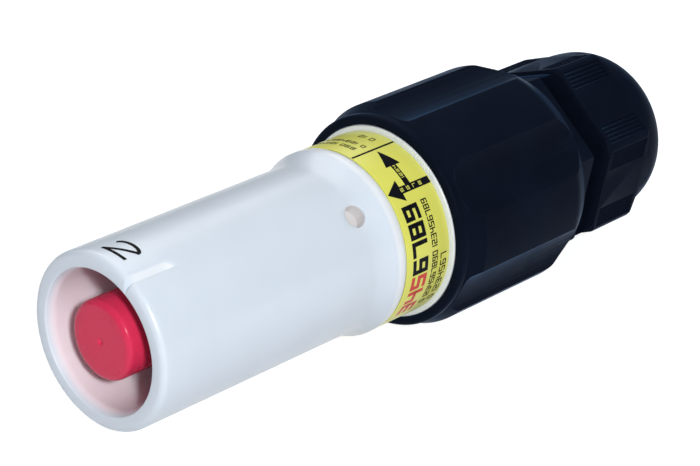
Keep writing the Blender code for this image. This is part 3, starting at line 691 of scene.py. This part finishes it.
class CONNECTOR_OT_nose(bpy.types.Operator):
    """Models the white shroud: nose, mouth, notch, release hole, flare, label seat and flange"""

    bl_idname = "connector.nose"
    bl_label = "White nose"

    def execute(self, context):
        sizes = context.scene.connector_nose
        lip = station(LABEL_BOX[0][0]) - 0.0003
        flange = station(SHELL_BOX[0][0]) - 0.0002
        seat = (LABEL_BOX[1][2] - LABEL_BOX[0][2]) / 2 - 0.0006
        end = station(NOSE_BOX[1][0])
        step = flange + 0.0046
        rise = sizes.flare - sizes.radius
        run, steps = 0.0085, 10
        flare = [
            (
                sizes.length + run * i / steps,
                sizes.radius + rise * (1 - math.cos(math.pi / 2 * i / steps)),
                0,
            )
            for i in range(steps + 1)
        ]
        # Rings along the straight walls keep their long faces even
        outer_rings = [sizes.length * share for share in (0.22, 0.4, 0.6, 0.8, 0.93)]
        inner_rings = (0.078, 0.06, 0.042, 0.026, 0.016)
        collar, shoulder, mouth = 0.028, 0.026, 0.0201
        outline = filleted(
            (0, sizes.radius, sizes.rim_round),
            *[(ring, sizes.radius, 0) for ring in outer_rings],
            *flare,
            (lip, sizes.flare, 0.0009),
            (lip, seat, 0),
            (flange, seat, 0),
            (flange, collar, 0.0004),
            (step, collar, 0.0003),
            (step, shoulder, 0),
            (end, shoulder, 0.0008),
            (end, REAR_BORE, 0),
            (RECESS_BACK, REAR_BORE, 0),
            (RECESS_BACK, RECESS_RADIUS, 0),
            (WEB_BACK, RECESS_RADIUS, 0),
            (WEB_BACK, WEB_HOLE, 0.0004),
            (WEB_FRONT, WEB_HOLE, 0.0004),
            (WEB_FRONT, sizes.bore, 0.0012),
            *[(ring, sizes.bore, 0) for ring in inner_rings],
            (0.0028, sizes.bore, 0.004),
            (0, mouth, 0.0003),
        )
        nose = turned("nose_shroud", outline)
        for i, clock in enumerate(LUG_CLOCKS):
            lug = primitive(
                f"bayonet_lug_{i}",
                bpy.ops.mesh.primitive_cube_add,
                scale=LUG_SIZE,
                size=1,
                location=at(LUG_STATION, LUG_MIDDLE, clock),
                rotation=(-clock, 0, 0),
            )
            soften(lug, 0.0006, 40, 3)
            combine(nose, lug, "UNION")
        self.cut_notch(nose, sizes)
        drill_middle, drill_length = 0.0276, 0.014
        middle = at(sizes.hole_station, drill_middle, sizes.hole_clock)
        out = outward(sizes.hole_clock)
        combine(nose, rod("release_hole", sizes.hole_radius, drill_length, middle, out))
        soften(nose, 0.00018, 42)
        smooth(nose, 35)
        hand_in(nose, "moulded_white", "white_nylon", "front_shroud")
        return {"FINISHED"}

    def cut_notch(self, nose, sizes):
        """A groove with one deep side, deepest at the rim, and with a ramp at its inner end."""
        reach, half = 0.003, sizes.notch_width / 2
        level, fall, ramp_length, lean = 0.38, 0.0015, 0.003, 1.2
        clear, skim = 0.003, 0.0001
        grid = bpy.ops.mesh.primitive_grid_add
        slot = primitive("index_notch", grid, x_subdivisions=40, y_subdivisions=8, size=1)
        finish_by(slot, "SOLIDIFY", thickness=1, offset=1)
        for vertex in slot.data.vertices:
            along = (vertex.co.x + 0.5) * (sizes.notch_length + reach) - reach
            share = vertex.co.y + 0.5
            ramp = min(1, max(0, (sizes.notch_length - along) / ramp_length))
            steepness = level + (1 - level) * math.exp(-max(0, along) / fall)
            depth = sizes.notch_depth * steepness * ramp
            height = clear if vertex.co.z > 0.5 else skim - depth * share**lean
            turn = sizes.notch_clock + (2 * share - 1) * half / sizes.radius
            vertex.co = at(along, sizes.radius + height, turn)
        face_outwards()
        combine(nose, slot)


class CONNECTOR_OT_mark(bpy.types.Operator):
    """Draws the plain pole number on the nose"""

    bl_idname = "connector.mark"
    bl_label = "Pole number"

    def execute(self, context):
        radius = context.scene.connector_nose.radius
        top, foot, middle = 0.0092, 0.0046, 5.6
        arc = [
            (top + 0.0016 * math.cos(turn), middle + 9.2 * math.sin(turn))
            for turn in (math.radians(angle) for angle in range(-75, 100, 15))
        ]
        path = [*arc, (foot, -3.2), (foot, 14.6)]
        half = 0.0005
        strokes = []
        points = [Vector((along, math.radians(clock) * radius)) for along, clock in path]
        for i, (start, end) in enumerate(zip(points, points[1:], strict=False)):
            along = (end - start).normalized() * half
            side = Vector((-along.y, along.x))
            corners = [start - along - side, end + along - side, end + along + side, start - along + side]
            outline = [(corner.x, math.degrees(corner.y / radius)) for corner in corners]
            strokes.append(drawn(f"stroke_{i}", outline, radius))
        mark = laid(strokes, "pole_number", radius, MARK_PROUD)
        hand_in(mark, "dark_ink", "black_nylon")
        return {"FINISHED"}


class CONNECTOR_OT_label(bpy.types.Operator):
    """Models the neck's film and its plain print: divider, arrows and numerals"""

    bl_idname = "connector.label"
    bl_label = "Neck film"

    def execute(self, context):
        low, high = ends(LABEL_BOX)
        outer = (LABEL_BOX[1][2] - LABEL_BOX[0][2]) / 2
        inner = outer - 0.0003
        edge = 0.0001
        corners = [(low, outer, edge), (high, outer, edge), (high, inner, 0), (low, inner, 0)]
        outline = filleted(*corners, steps=3)
        film = turned("neck_film", outline)
        smooth(film, 50)
        hand_in(film, "neck_film_print", "label_film", "label_band")
        self.print_dark(outer, low, high)
        self.print_light(outer)
        self.print_red(outer)
        return {"FINISHED"}

    def print_dark(self, radius, low, high):
        """Dark print: the divider, two arrows and the rows of numerals."""
        marks = [patch("divider", (low + 0.0002, high - 0.0002), (12.3, 13.7), radius)]
        corners = arrow(15.3, 29.2, 44.0, 0.0970, (0.0998, 0.0942), (0.0980, 0.0960))
        turn_arrow = [(along, clock) for clock, along in corners]
        push_arrow = arrow(low + 0.0003, 0.0936, high - 0.0003, 45.7, (38.8, 52.7), (43.4, 48.0))
        marks.append(drawn("turn_arrow", turn_arrow, radius))
        marks.append(drawn("push_arrow", push_arrow, radius))
        for text, stations, first, pitch, stroke in (
            ("6789", LARGE_ROW, 96.5, LARGE_PITCH, LARGE_STROKE),
            ("01234567890123456789", (0.0982, 0.1004), 126, 3.6, 0.00036),
            ("01234567", (0.1016, 0.1040), 126, 4.6, 0.00036),
            ("012", (0.1000, 0.1018), 5, 4.2, 0.0003),
            ("01234567", (0.0950, 0.0965), 8, 4.0, 0.0003),
            ("890123456", (0.0918, 0.0934), 6, 4.0, 0.0003),
        ):
            marks += numerals(text, stations, first, pitch, stroke, radius)
        piece = laid(marks, "neck_print_dark", radius, INK_PROUD)
        hand_in(piece, "dark_ink", "label_film")

    def print_light(self, radius):
        """Light numerals on the arrows' stems: a row on one, and a column on the other."""
        stroke, spacing = 0.0002, 0.0024
        marks = numerals("1234", (0.0965, 0.0975), 40.5, 3.0, stroke, radius)
        for i, numeral in enumerate("5678"):
            stations = (0.0934 + spacing * i, 0.0945 + spacing * i)
            marks += numerals(numeral, stations, 46.7, 3.2, stroke, radius)
        piece = laid(marks, "neck_print_light", radius, OVERPRINT_PROUD)
        hand_in(piece, "neck_film_print", "label_film")

    def print_red(self, radius):
        """The last large numerals, in red."""
        marks = numerals("345", LARGE_ROW, 129.5, LARGE_PITCH, LARGE_STROKE, radius)
        piece = laid(marks, "neck_print_red", radius, INK_PROUD)
        hand_in(piece, "red_ink", "label_film")


class CONNECTOR_OT_contact(bpy.types.Operator):
    """Models the silvered contact and its red finger-safe cap"""

    bl_idname = "connector.contact"
    bl_label = "Contact and cap"

    def execute(self, context):
        front, back = ends(CAP_BOX)
        outer = (CAP_BOX[1][2] - CAP_BOX[0][2]) / 2
        inner, wall, axis = 0.0073, 0.0035, 0.0001
        outline = filleted(
            (front + 0.0005, axis, 0),
            (front + 0.00045, 0.00055, 0.0002),
            (front, 0.0010, 0.0002),
            (front, outer - 0.0030, 0),
            (front + 0.00005, outer, 0.0017),
            (back, outer, 0.0003),
            (back, inner, 0),
            (front + wall, inner, 0),
            (front + wall, axis, 0),
            steps=6,
        )
        cap = turned("finger_cap", outline, closed=False)
        smooth(cap, 40)
        hand_in(cap, "moulded_red", "red_nylon", "finger_safe_cap")

        end = station(PIN_BOX[1][0])
        tip, shoulder, flange_front, flange_back = 0.0048, 0.0203, 0.0963, 0.1013
        post, pin, flange, barrel, cable_hole = 0.0070, 0.0109, 0.0160, 0.0135, 0.00875
        outline = filleted(
            (tip, axis, 0),
            (tip, post, 0.0006),
            (shoulder, post, 0),
            (shoulder, pin, 0.0004),
            (flange_front, pin, 0),
            (flange_front, flange, 0.0003),
            (flange_back, flange, 0.0003),
            (flange_back, barrel, 0),
            (end, barrel, 0.0007),
            (end, cable_hole, 0.0007),
            (end - 0.042, cable_hole, 0),
            (end - 0.0472, axis, 0),
            steps=4,
        )
        contact = turned("contact_body", outline, closed=False)
        smooth(contact, 40)
        hand_in(contact, "plated_silver", "silver_plate", "contact_pin")
        return {"FINISHED"}


class CONNECTOR_OT_shell(bpy.types.Operator):
    """Models the black back shell, whose oval flutes run out over its tail"""

    bl_idname = "connector.shell"
    bl_label = "Back shell"

    def execute(self, context):
        sizes = context.scene.connector_shell
        front, rear = ends(SHELL_BOX)
        rib, ring = sizes.rib_radius, sizes.ring_radius
        entry, chamber, throat = 0.0283, 0.0263, 0.0203
        seat = front + 0.0067
        outline = filleted(
            (front, entry, 0.0002),
            (front, ring, 0.0014),
            (front + 0.0028, ring, 0.0002),
            (front + 0.0031, ring - 0.0004, 0.0002),
            (front + 0.0037, ring, 0.0003),
            (front + 0.0082, rib, 0.0012),
            (front + 0.0496, rib, 0.007),
            (front + 0.0553, rib - 0.0031, 0.004),
            (rear, rib - 0.0046, 0.0006),
            (rear, throat, 0),
            (rear - 0.0105, throat, 0),
            (rear - 0.0165, chamber, 0),
            (seat, chamber, 0),
            (seat, entry, 0),
            steps=6,
        )
        shell = turned("back_shell", outline)
        for i in range(sizes.flutes):
            clock = math.tau * i / sizes.flutes
            combine(shell, self.flute(sizes, front + 0.0035, rear + 0.005, clock))
        clock = context.scene.connector_gland.nut_clock
        self.cut_flats(shell, sizes.tail_across, front + 0.0556, rear + 0.001, clock)
        soften(shell, sizes.edge, 20, 3)
        smooth(shell, 35)
        hand_in(shell, "moulded_black", "black_nylon", "grip_collar")
        return {"FINISHED"}

    def cut_flats(self, shell, across, low, high, clock):
        """Leaves a hexagon behind the grip, in line with the dome nut's."""
        waste_radius = 0.04
        waste = rod("tail_waste", waste_radius, high - low, at((low + high) / 2, 0, 0), AHEAD)
        combine(waste, hexagon_bar("tail_flats", across, low - 0.001, high + 0.001, clock))
        combine(shell, waste)

    def flute(self, sizes, low, high, clock):
        """An oval bar with a rounded front end, whose edges reach half of a flute's share of the ribs."""
        edge = math.pi / sizes.flutes / 2
        centre = sizes.flute_floor + sizes.flute_depth
        drop = centre - sizes.rib_radius * math.cos(edge)
        width = sizes.rib_radius * math.sin(edge) / math.sqrt(1 - (drop / sizes.flute_depth) ** 2)
        out = outward(clock)
        bar = primitive(
            "flute",
            bpy.ops.mesh.primitive_cylinder_add,
            scale=(sizes.flute_depth, width, high - low),
            vertices=128,
            radius=1,
            depth=1,
            location=at((low + high) / 2, centre, clock),
            rotation=Matrix((out, AHEAD.cross(out), AHEAD)).transposed().to_euler(),
        )
        soften(bar, 0.0016, 60, 5)
        return bar


class CONNECTOR_OT_gland(bpy.types.Operator):
    """Models the gland's body and its two seals"""

    bl_idname = "connector.gland"
    bl_label = "Gland body and seals"

    def execute(self, context):
        sizes = context.scene.connector_gland
        start, end = ends(BODY_BOX)
        face = station(SHELL_BOX[1][0]) + 0.0003
        back = face + 0.0062
        corner = sizes.body_across / math.sqrt(3) - 0.0001
        land = corner - 0.0017
        spigot, ring_seat, thread, claw_seat, bore = 0.0200, 0.0223, 0.0220, 0.0185, 0.0150
        outline = filleted(
            (start, spigot, 0.0006),
            (face + 0.002, spigot, 0),
            (face + 0.002, ring_seat, 0),
            (face, ring_seat, 0),
            (face, land, 0),
            (face + 0.0010, corner, 0),
            (back - 0.0010, corner, 0),
            (back, land, 0),
            (back, thread, 0),
            (end, thread, 0.0008),
            (end, claw_seat, 0.0003),
            (back + 0.0008, claw_seat, 0),
            (back + 0.0008, bore, 0),
            (start, bore, 0.0006),
            steps=4,
        )
        body = turned("gland_neck", outline)
        bar = hexagon_bar("body_flats", sizes.body_across, start - 0.002, end + 0.002, sizes.nut_clock)
        combine(body, bar, "INTERSECT")
        soften(body, 0.00025, 25)
        smooth(body, 35)
        # The body takes the darkened black, which is painted shade of the gap
        hand_in(body, "painted_shade_black", "black_nylon", "gland_body")

        edge = 0.0003
        for name, box, outer, inner, lip, node in (
            ("rubber_seal", SEAL_BOX, 0.0152, 0.0121, 0.0008, "gland_seal"),
            ("rubber_reducer", REDUCER_BOX, 0.0118, 0.0091, 0.0007, "gland_reducer"),
        ):
            low, high = ends(box)
            corners = [(low, outer, edge), (high, outer, lip), (high, inner, lip), (low, inner, edge)]
            ring = turned(name, filleted(*corners), PLAIN)
            smooth(ring, 40)
            hand_in(ring, "soft_rubber", "seal_rubber", node)
        return {"FINISHED"}


class CONNECTOR_OT_nut(bpy.types.Operator):
    """Models the dome nut with grip grooves on both sides of every corner"""

    bl_idname = "connector.nut"
    bl_label = "Dome nut"

    def execute(self, context):
        sizes = context.scene.connector_gland
        start, end = ends(NUT_BOX)
        flat = sizes.nut_across / 2
        corner = sizes.nut_across / math.sqrt(3) - 0.0004
        thread = 0.0223
        claw_cone = ((0.1987, 0.0170, 0), (0.1911, 0.0186, 0))
        shoulder, dome = start + 0.0199, flat + 0.0005
        run, drop, steps = 0.014, 0.010, 24
        turns = [math.radians(75) * i / steps for i in range(steps + 1)]
        curve = [
            (shoulder + run * math.sin(turn), dome - drop * (1 - math.cos(turn)), 0) for turn in turns
        ]
        outline = filleted(
            (start, thread, 0.0003),
            (start, corner - 0.0012, 0.0003),
            (start + 0.0010, corner, 0.0004),
            (start + 0.0184, corner, 0.0006),
            *curve,
            (end, sizes.mouth, 0.0007),
            (end - 0.004, sizes.mouth, 0),
            *claw_cone,
            (claw_cone[1][0], thread, 0),
            steps=4,
        )
        nut = turned("dome_nut", outline)
        bar = hexagon_bar("nut_flats", sizes.nut_across, start - 0.002, end + 0.002, sizes.nut_clock)
        combine(nut, bar, "INTERSECT")
        self.cut_grooves(nut, sizes, start + 0.0015, start + 0.0178)
        soften(nut, 0.0001, 30)
        smooth(nut, 35)
        hand_in(nut, "moulded_black", "black_nylon", "gland_nut")
        return {"FINISHED"}

    def cut_grooves(self, nut, sizes, start, end):
        """Cuts closed grooves into every flat, in two fields beside its corners."""
        flat = sizes.nut_across / 2
        land, radius = 0.0021, sizes.rib_depth * 1.5
        half_side = flat * math.tan(math.pi / 6)
        tools = []
        for side in range(6):
            clock = sizes.nut_clock + math.tau * (side + 0.5) / 6
            out = outward(clock)
            round_way = AHEAD.cross(out)
            for i in range(sizes.ribs):
                for sign in (-1, 1):
                    offset = sign * (half_side - land - sizes.rib_pitch * i)
                    middle = at((start + end) / 2, flat + 0.00045 - sizes.rib_depth, clock)
                    middle += round_way * offset
                    tools.append(self.groove(middle, out, round_way, end - start, radius))
        combine(nut, joined(tools, "grip_grooves"))

    def groove(self, middle, out, round_way, length, radius):
        """A three-sided bar along the axis with one edge towards it."""
        bar = primitive(
            "groove", bpy.ops.mesh.primitive_cylinder_add, vertices=3, radius=radius, depth=length
        )
        for vertex in bar.data.vertices:
            across, up, along = vertex.co
            vertex.co = middle + AHEAD * along + round_way * across - out * up
        return bar


class CONNECTOR_OT_inner(bpy.types.Operator):
    """Gives the small pieces inside their finishes"""

    bl_idname = "connector.inner"
    bl_label = "Inner pieces"

    def execute(self, context):
        rings = ("contact_key", "thrust_washer", "retaining_ring")
        screws = ("clamp_screw_front", "clamp_screw_rear")
        for finish, nodes in (
            ("soft_rubber", ("contact_o_ring", "shroud_o_ring", "gland_o_ring")),
            ("bare_steel", (*rings, *screws)),
            ("moulded_black", ("contact_sleeve", "gland_claw")),
        ):
            for node in nodes:
                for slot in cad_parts[node].material_slots:
                    slot.material = bpy.data.materials[finish]
        return {"FINISHED"}


class CONNECTOR_OT_finishes(bpy.types.Operator):
    """Makes the materials"""

    bl_idname = "connector.finishes"
    bl_label = "Finishes"

    def execute(self, context):
        finishes = context.scene.connector_finishes
        moulded_white(finishes)
        moulded_black(finishes)
        painted_shade_black(finishes)
        moulded_red(finishes)
        printed_film("neck_film_print", finishes.yellow, 0.3, 0.42, 0.3)
        printed_film("dark_ink", finishes.ink, 0.35, 0.5, 0.03)
        printed_film("red_ink", finishes.red_ink, 0.35, 0.5, 0.1)
        plated(finishes)
        bare_steel(finishes)
        soft_rubber(finishes)
        return {"FINISHED"}


class CONNECTOR_OT_stage(bpy.types.Operator):
    """Sets the floor, the lamps, the sky and the photograph's camera"""

    bl_idname = "connector.stage"
    bl_label = "Stage"

    def execute(self, context):
        settings = context.scene.connector_stage
        context.scene.view_settings.view_transform = "Standard"
        self.lay_floor(settings)
        self.hang_lamp("key_lamp", KEY_PLACE, settings.key, KEY_WIDTH)
        self.hang_lamp("top_lamp", TOP_PLACE, settings.fill, TOP_WIDTH)
        self.set_sky(context, settings)
        bpy.ops.object.camera_add(
            location=CAMERA_PLACE, rotation=CAMERA_VIEW.to_track_quat("-Z", "Y").to_euler()
        )
        camera = context.object
        camera.name = "photograph_camera"
        camera.data.lens = CAMERA_LENS
        camera.data.sensor_width = 36
        camera.data.clip_start = 0.01
        context.scene.camera = camera
        return {"FINISHED"}

    def lay_floor(self, settings):
        """A pale floor that glows to the camera and to mirrors, and keeps the connector's shadow."""
        floor = primitive("floor", bpy.ops.mesh.primitive_plane_add, size=8)
        make = Nodes("pale_floor")
        make.set(Base_Color=(*settings.floor, 1), Roughness=0.9, Specular_IOR_Level=0.1)
        rays = make.add("ShaderNodeLightPath").outputs
        seen = make.reckon("MAXIMUM", rays["Is Camera Ray"], rays["Is Glossy Ray"])
        glow = make.reckon("MULTIPLY", seen, settings.glow)
        make.set(Emission_Color=(1, 1, 1, 1), Emission_Strength=glow)
        floor.data.materials.append(make.material)

    def hang_lamp(self, name, place, power, size):
        """A square lamp that faces the middle of the connector."""
        way = Vector((0, 0, AXIS_Z)) - Vector(place)
        bpy.ops.object.light_add(
            type="AREA", location=place, rotation=way.to_track_quat("-Z", "Y").to_euler()
        )
        lamp = bpy.context.object
        lamp.name = lamp.data.name = name
        lamp.data.energy = power
        lamp.data.size = size

    def set_sky(self, context, settings):
        """An even, slightly cool sky."""
        world = bpy.data.worlds.new("studio")
        world.use_nodes = True
        context.scene.world = world
        sky = world.node_tree.nodes["Background"]
        sky.inputs["Color"].default_value = (0.93, 0.96, 1.0, 1)
        sky.inputs["Strength"].default_value = settings.world


class CONNECTOR_PT_pieces(bpy.types.Panel):
    """Lists the steps and their settings"""

    bl_label = "Connector"
    bl_idname = "CONNECTOR_PT_pieces"
    bl_space_type = "VIEW_3D"
    bl_region_type = "UI"
    bl_category = "Connector"

    def draw(self, context):
        column = self.layout.column()
        for operator in STEPS:
            column.operator(operator.bl_idname)
        for group in GROUPS:
            settings = getattr(context.scene, group)
            box = self.layout.box()
            for name in settings.__annotations__:
                box.prop(settings, name)


GROUPS = {
    "connector_nose": NoseSizes,
    "connector_shell": ShellSizes,
    "connector_gland": GlandSizes,
    "connector_finishes": Finishes,
    "connector_stage": StageSettings,
}
STEPS = (
    CONNECTOR_OT_finishes,
    CONNECTOR_OT_nose,
    CONNECTOR_OT_mark,
    CONNECTOR_OT_label,
    CONNECTOR_OT_contact,
    CONNECTOR_OT_shell,
    CONNECTOR_OT_gland,
    CONNECTOR_OT_nut,
    CONNECTOR_OT_inner,
    CONNECTOR_OT_stage,
)


def register():
    for group in GROUPS.values():
        bpy.utils.register_class(group)
    for step in (*STEPS, CONNECTOR_PT_pieces):
        bpy.utils.register_class(step)
    for name, group in GROUPS.items():
        setattr(bpy.types.Scene, name, PointerProperty(type=group))


def unregister():
    for name in GROUPS:
        delattr(bpy.types.Scene, name)
    for step in (CONNECTOR_PT_pieces, *reversed(STEPS)):
        bpy.utils.unregister_class(step)
    for group in reversed(GROUPS.values()):
        bpy.utils.unregister_class(group)


def main():
    register()
    bpy.ops.connector.finishes()
    bpy.ops.connector.nose()
    bpy.ops.connector.mark()
    bpy.ops.connector.label()
    bpy.ops.connector.contact()
    bpy.ops.connector.shell()
    bpy.ops.connector.gland()
    bpy.ops.connector.nut()
    bpy.ops.connector.inner()
    bpy.ops.connector.stage()


if __name__ == "__main__":
    main()
